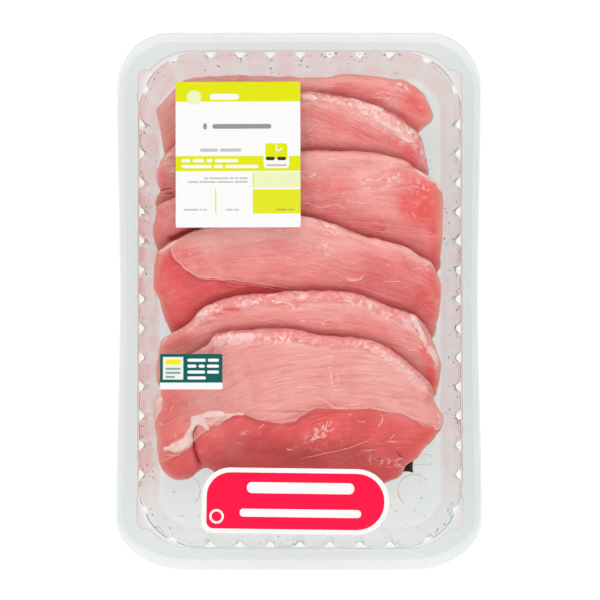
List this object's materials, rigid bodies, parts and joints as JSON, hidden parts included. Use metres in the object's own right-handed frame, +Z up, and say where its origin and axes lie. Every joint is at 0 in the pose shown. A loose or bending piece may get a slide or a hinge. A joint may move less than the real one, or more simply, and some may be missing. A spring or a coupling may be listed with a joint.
{
  "type": "meat tray pack",
  "caption": "Clear ribbed tray with a sealed film lid, holding overlapping slices of raw pork on an absorbent pad, with plain labels on the film.",
  "frame": {"origin": "centre of the tray's base, on the surface that it rests on", "axes": "+Z up, +Y along the tray's length towards the end with the large label, +X across it to the right"},
  "size_m": [0.1806, 0.266, 0.0593],
  "materials": {
    "clear_tray": "clear and glossy",
    "lid_film": "clear and glossy",
    "pork": "moist raw meat",
    "pad": "soaked, matt",
    "label_white": "satin print",
    "label_teal": "satin print",
    "label_red": "satin print"
  },
  "bodies": {
    "root": {"tray": "clear_tray", "film": "lid_film", "absorbent_pad": "pad", "pork_slice_1": "pork", "pork_slice_2": "pork", "pork_slice_3": "pork", "pork_slice_4": "pork", "pork_slice_5": "pork", "pork_slice_6": "pork", "label_large": "label_white", "label_small": "label_teal", "label_offer": "label_red"}
  },
  "joints": []
}
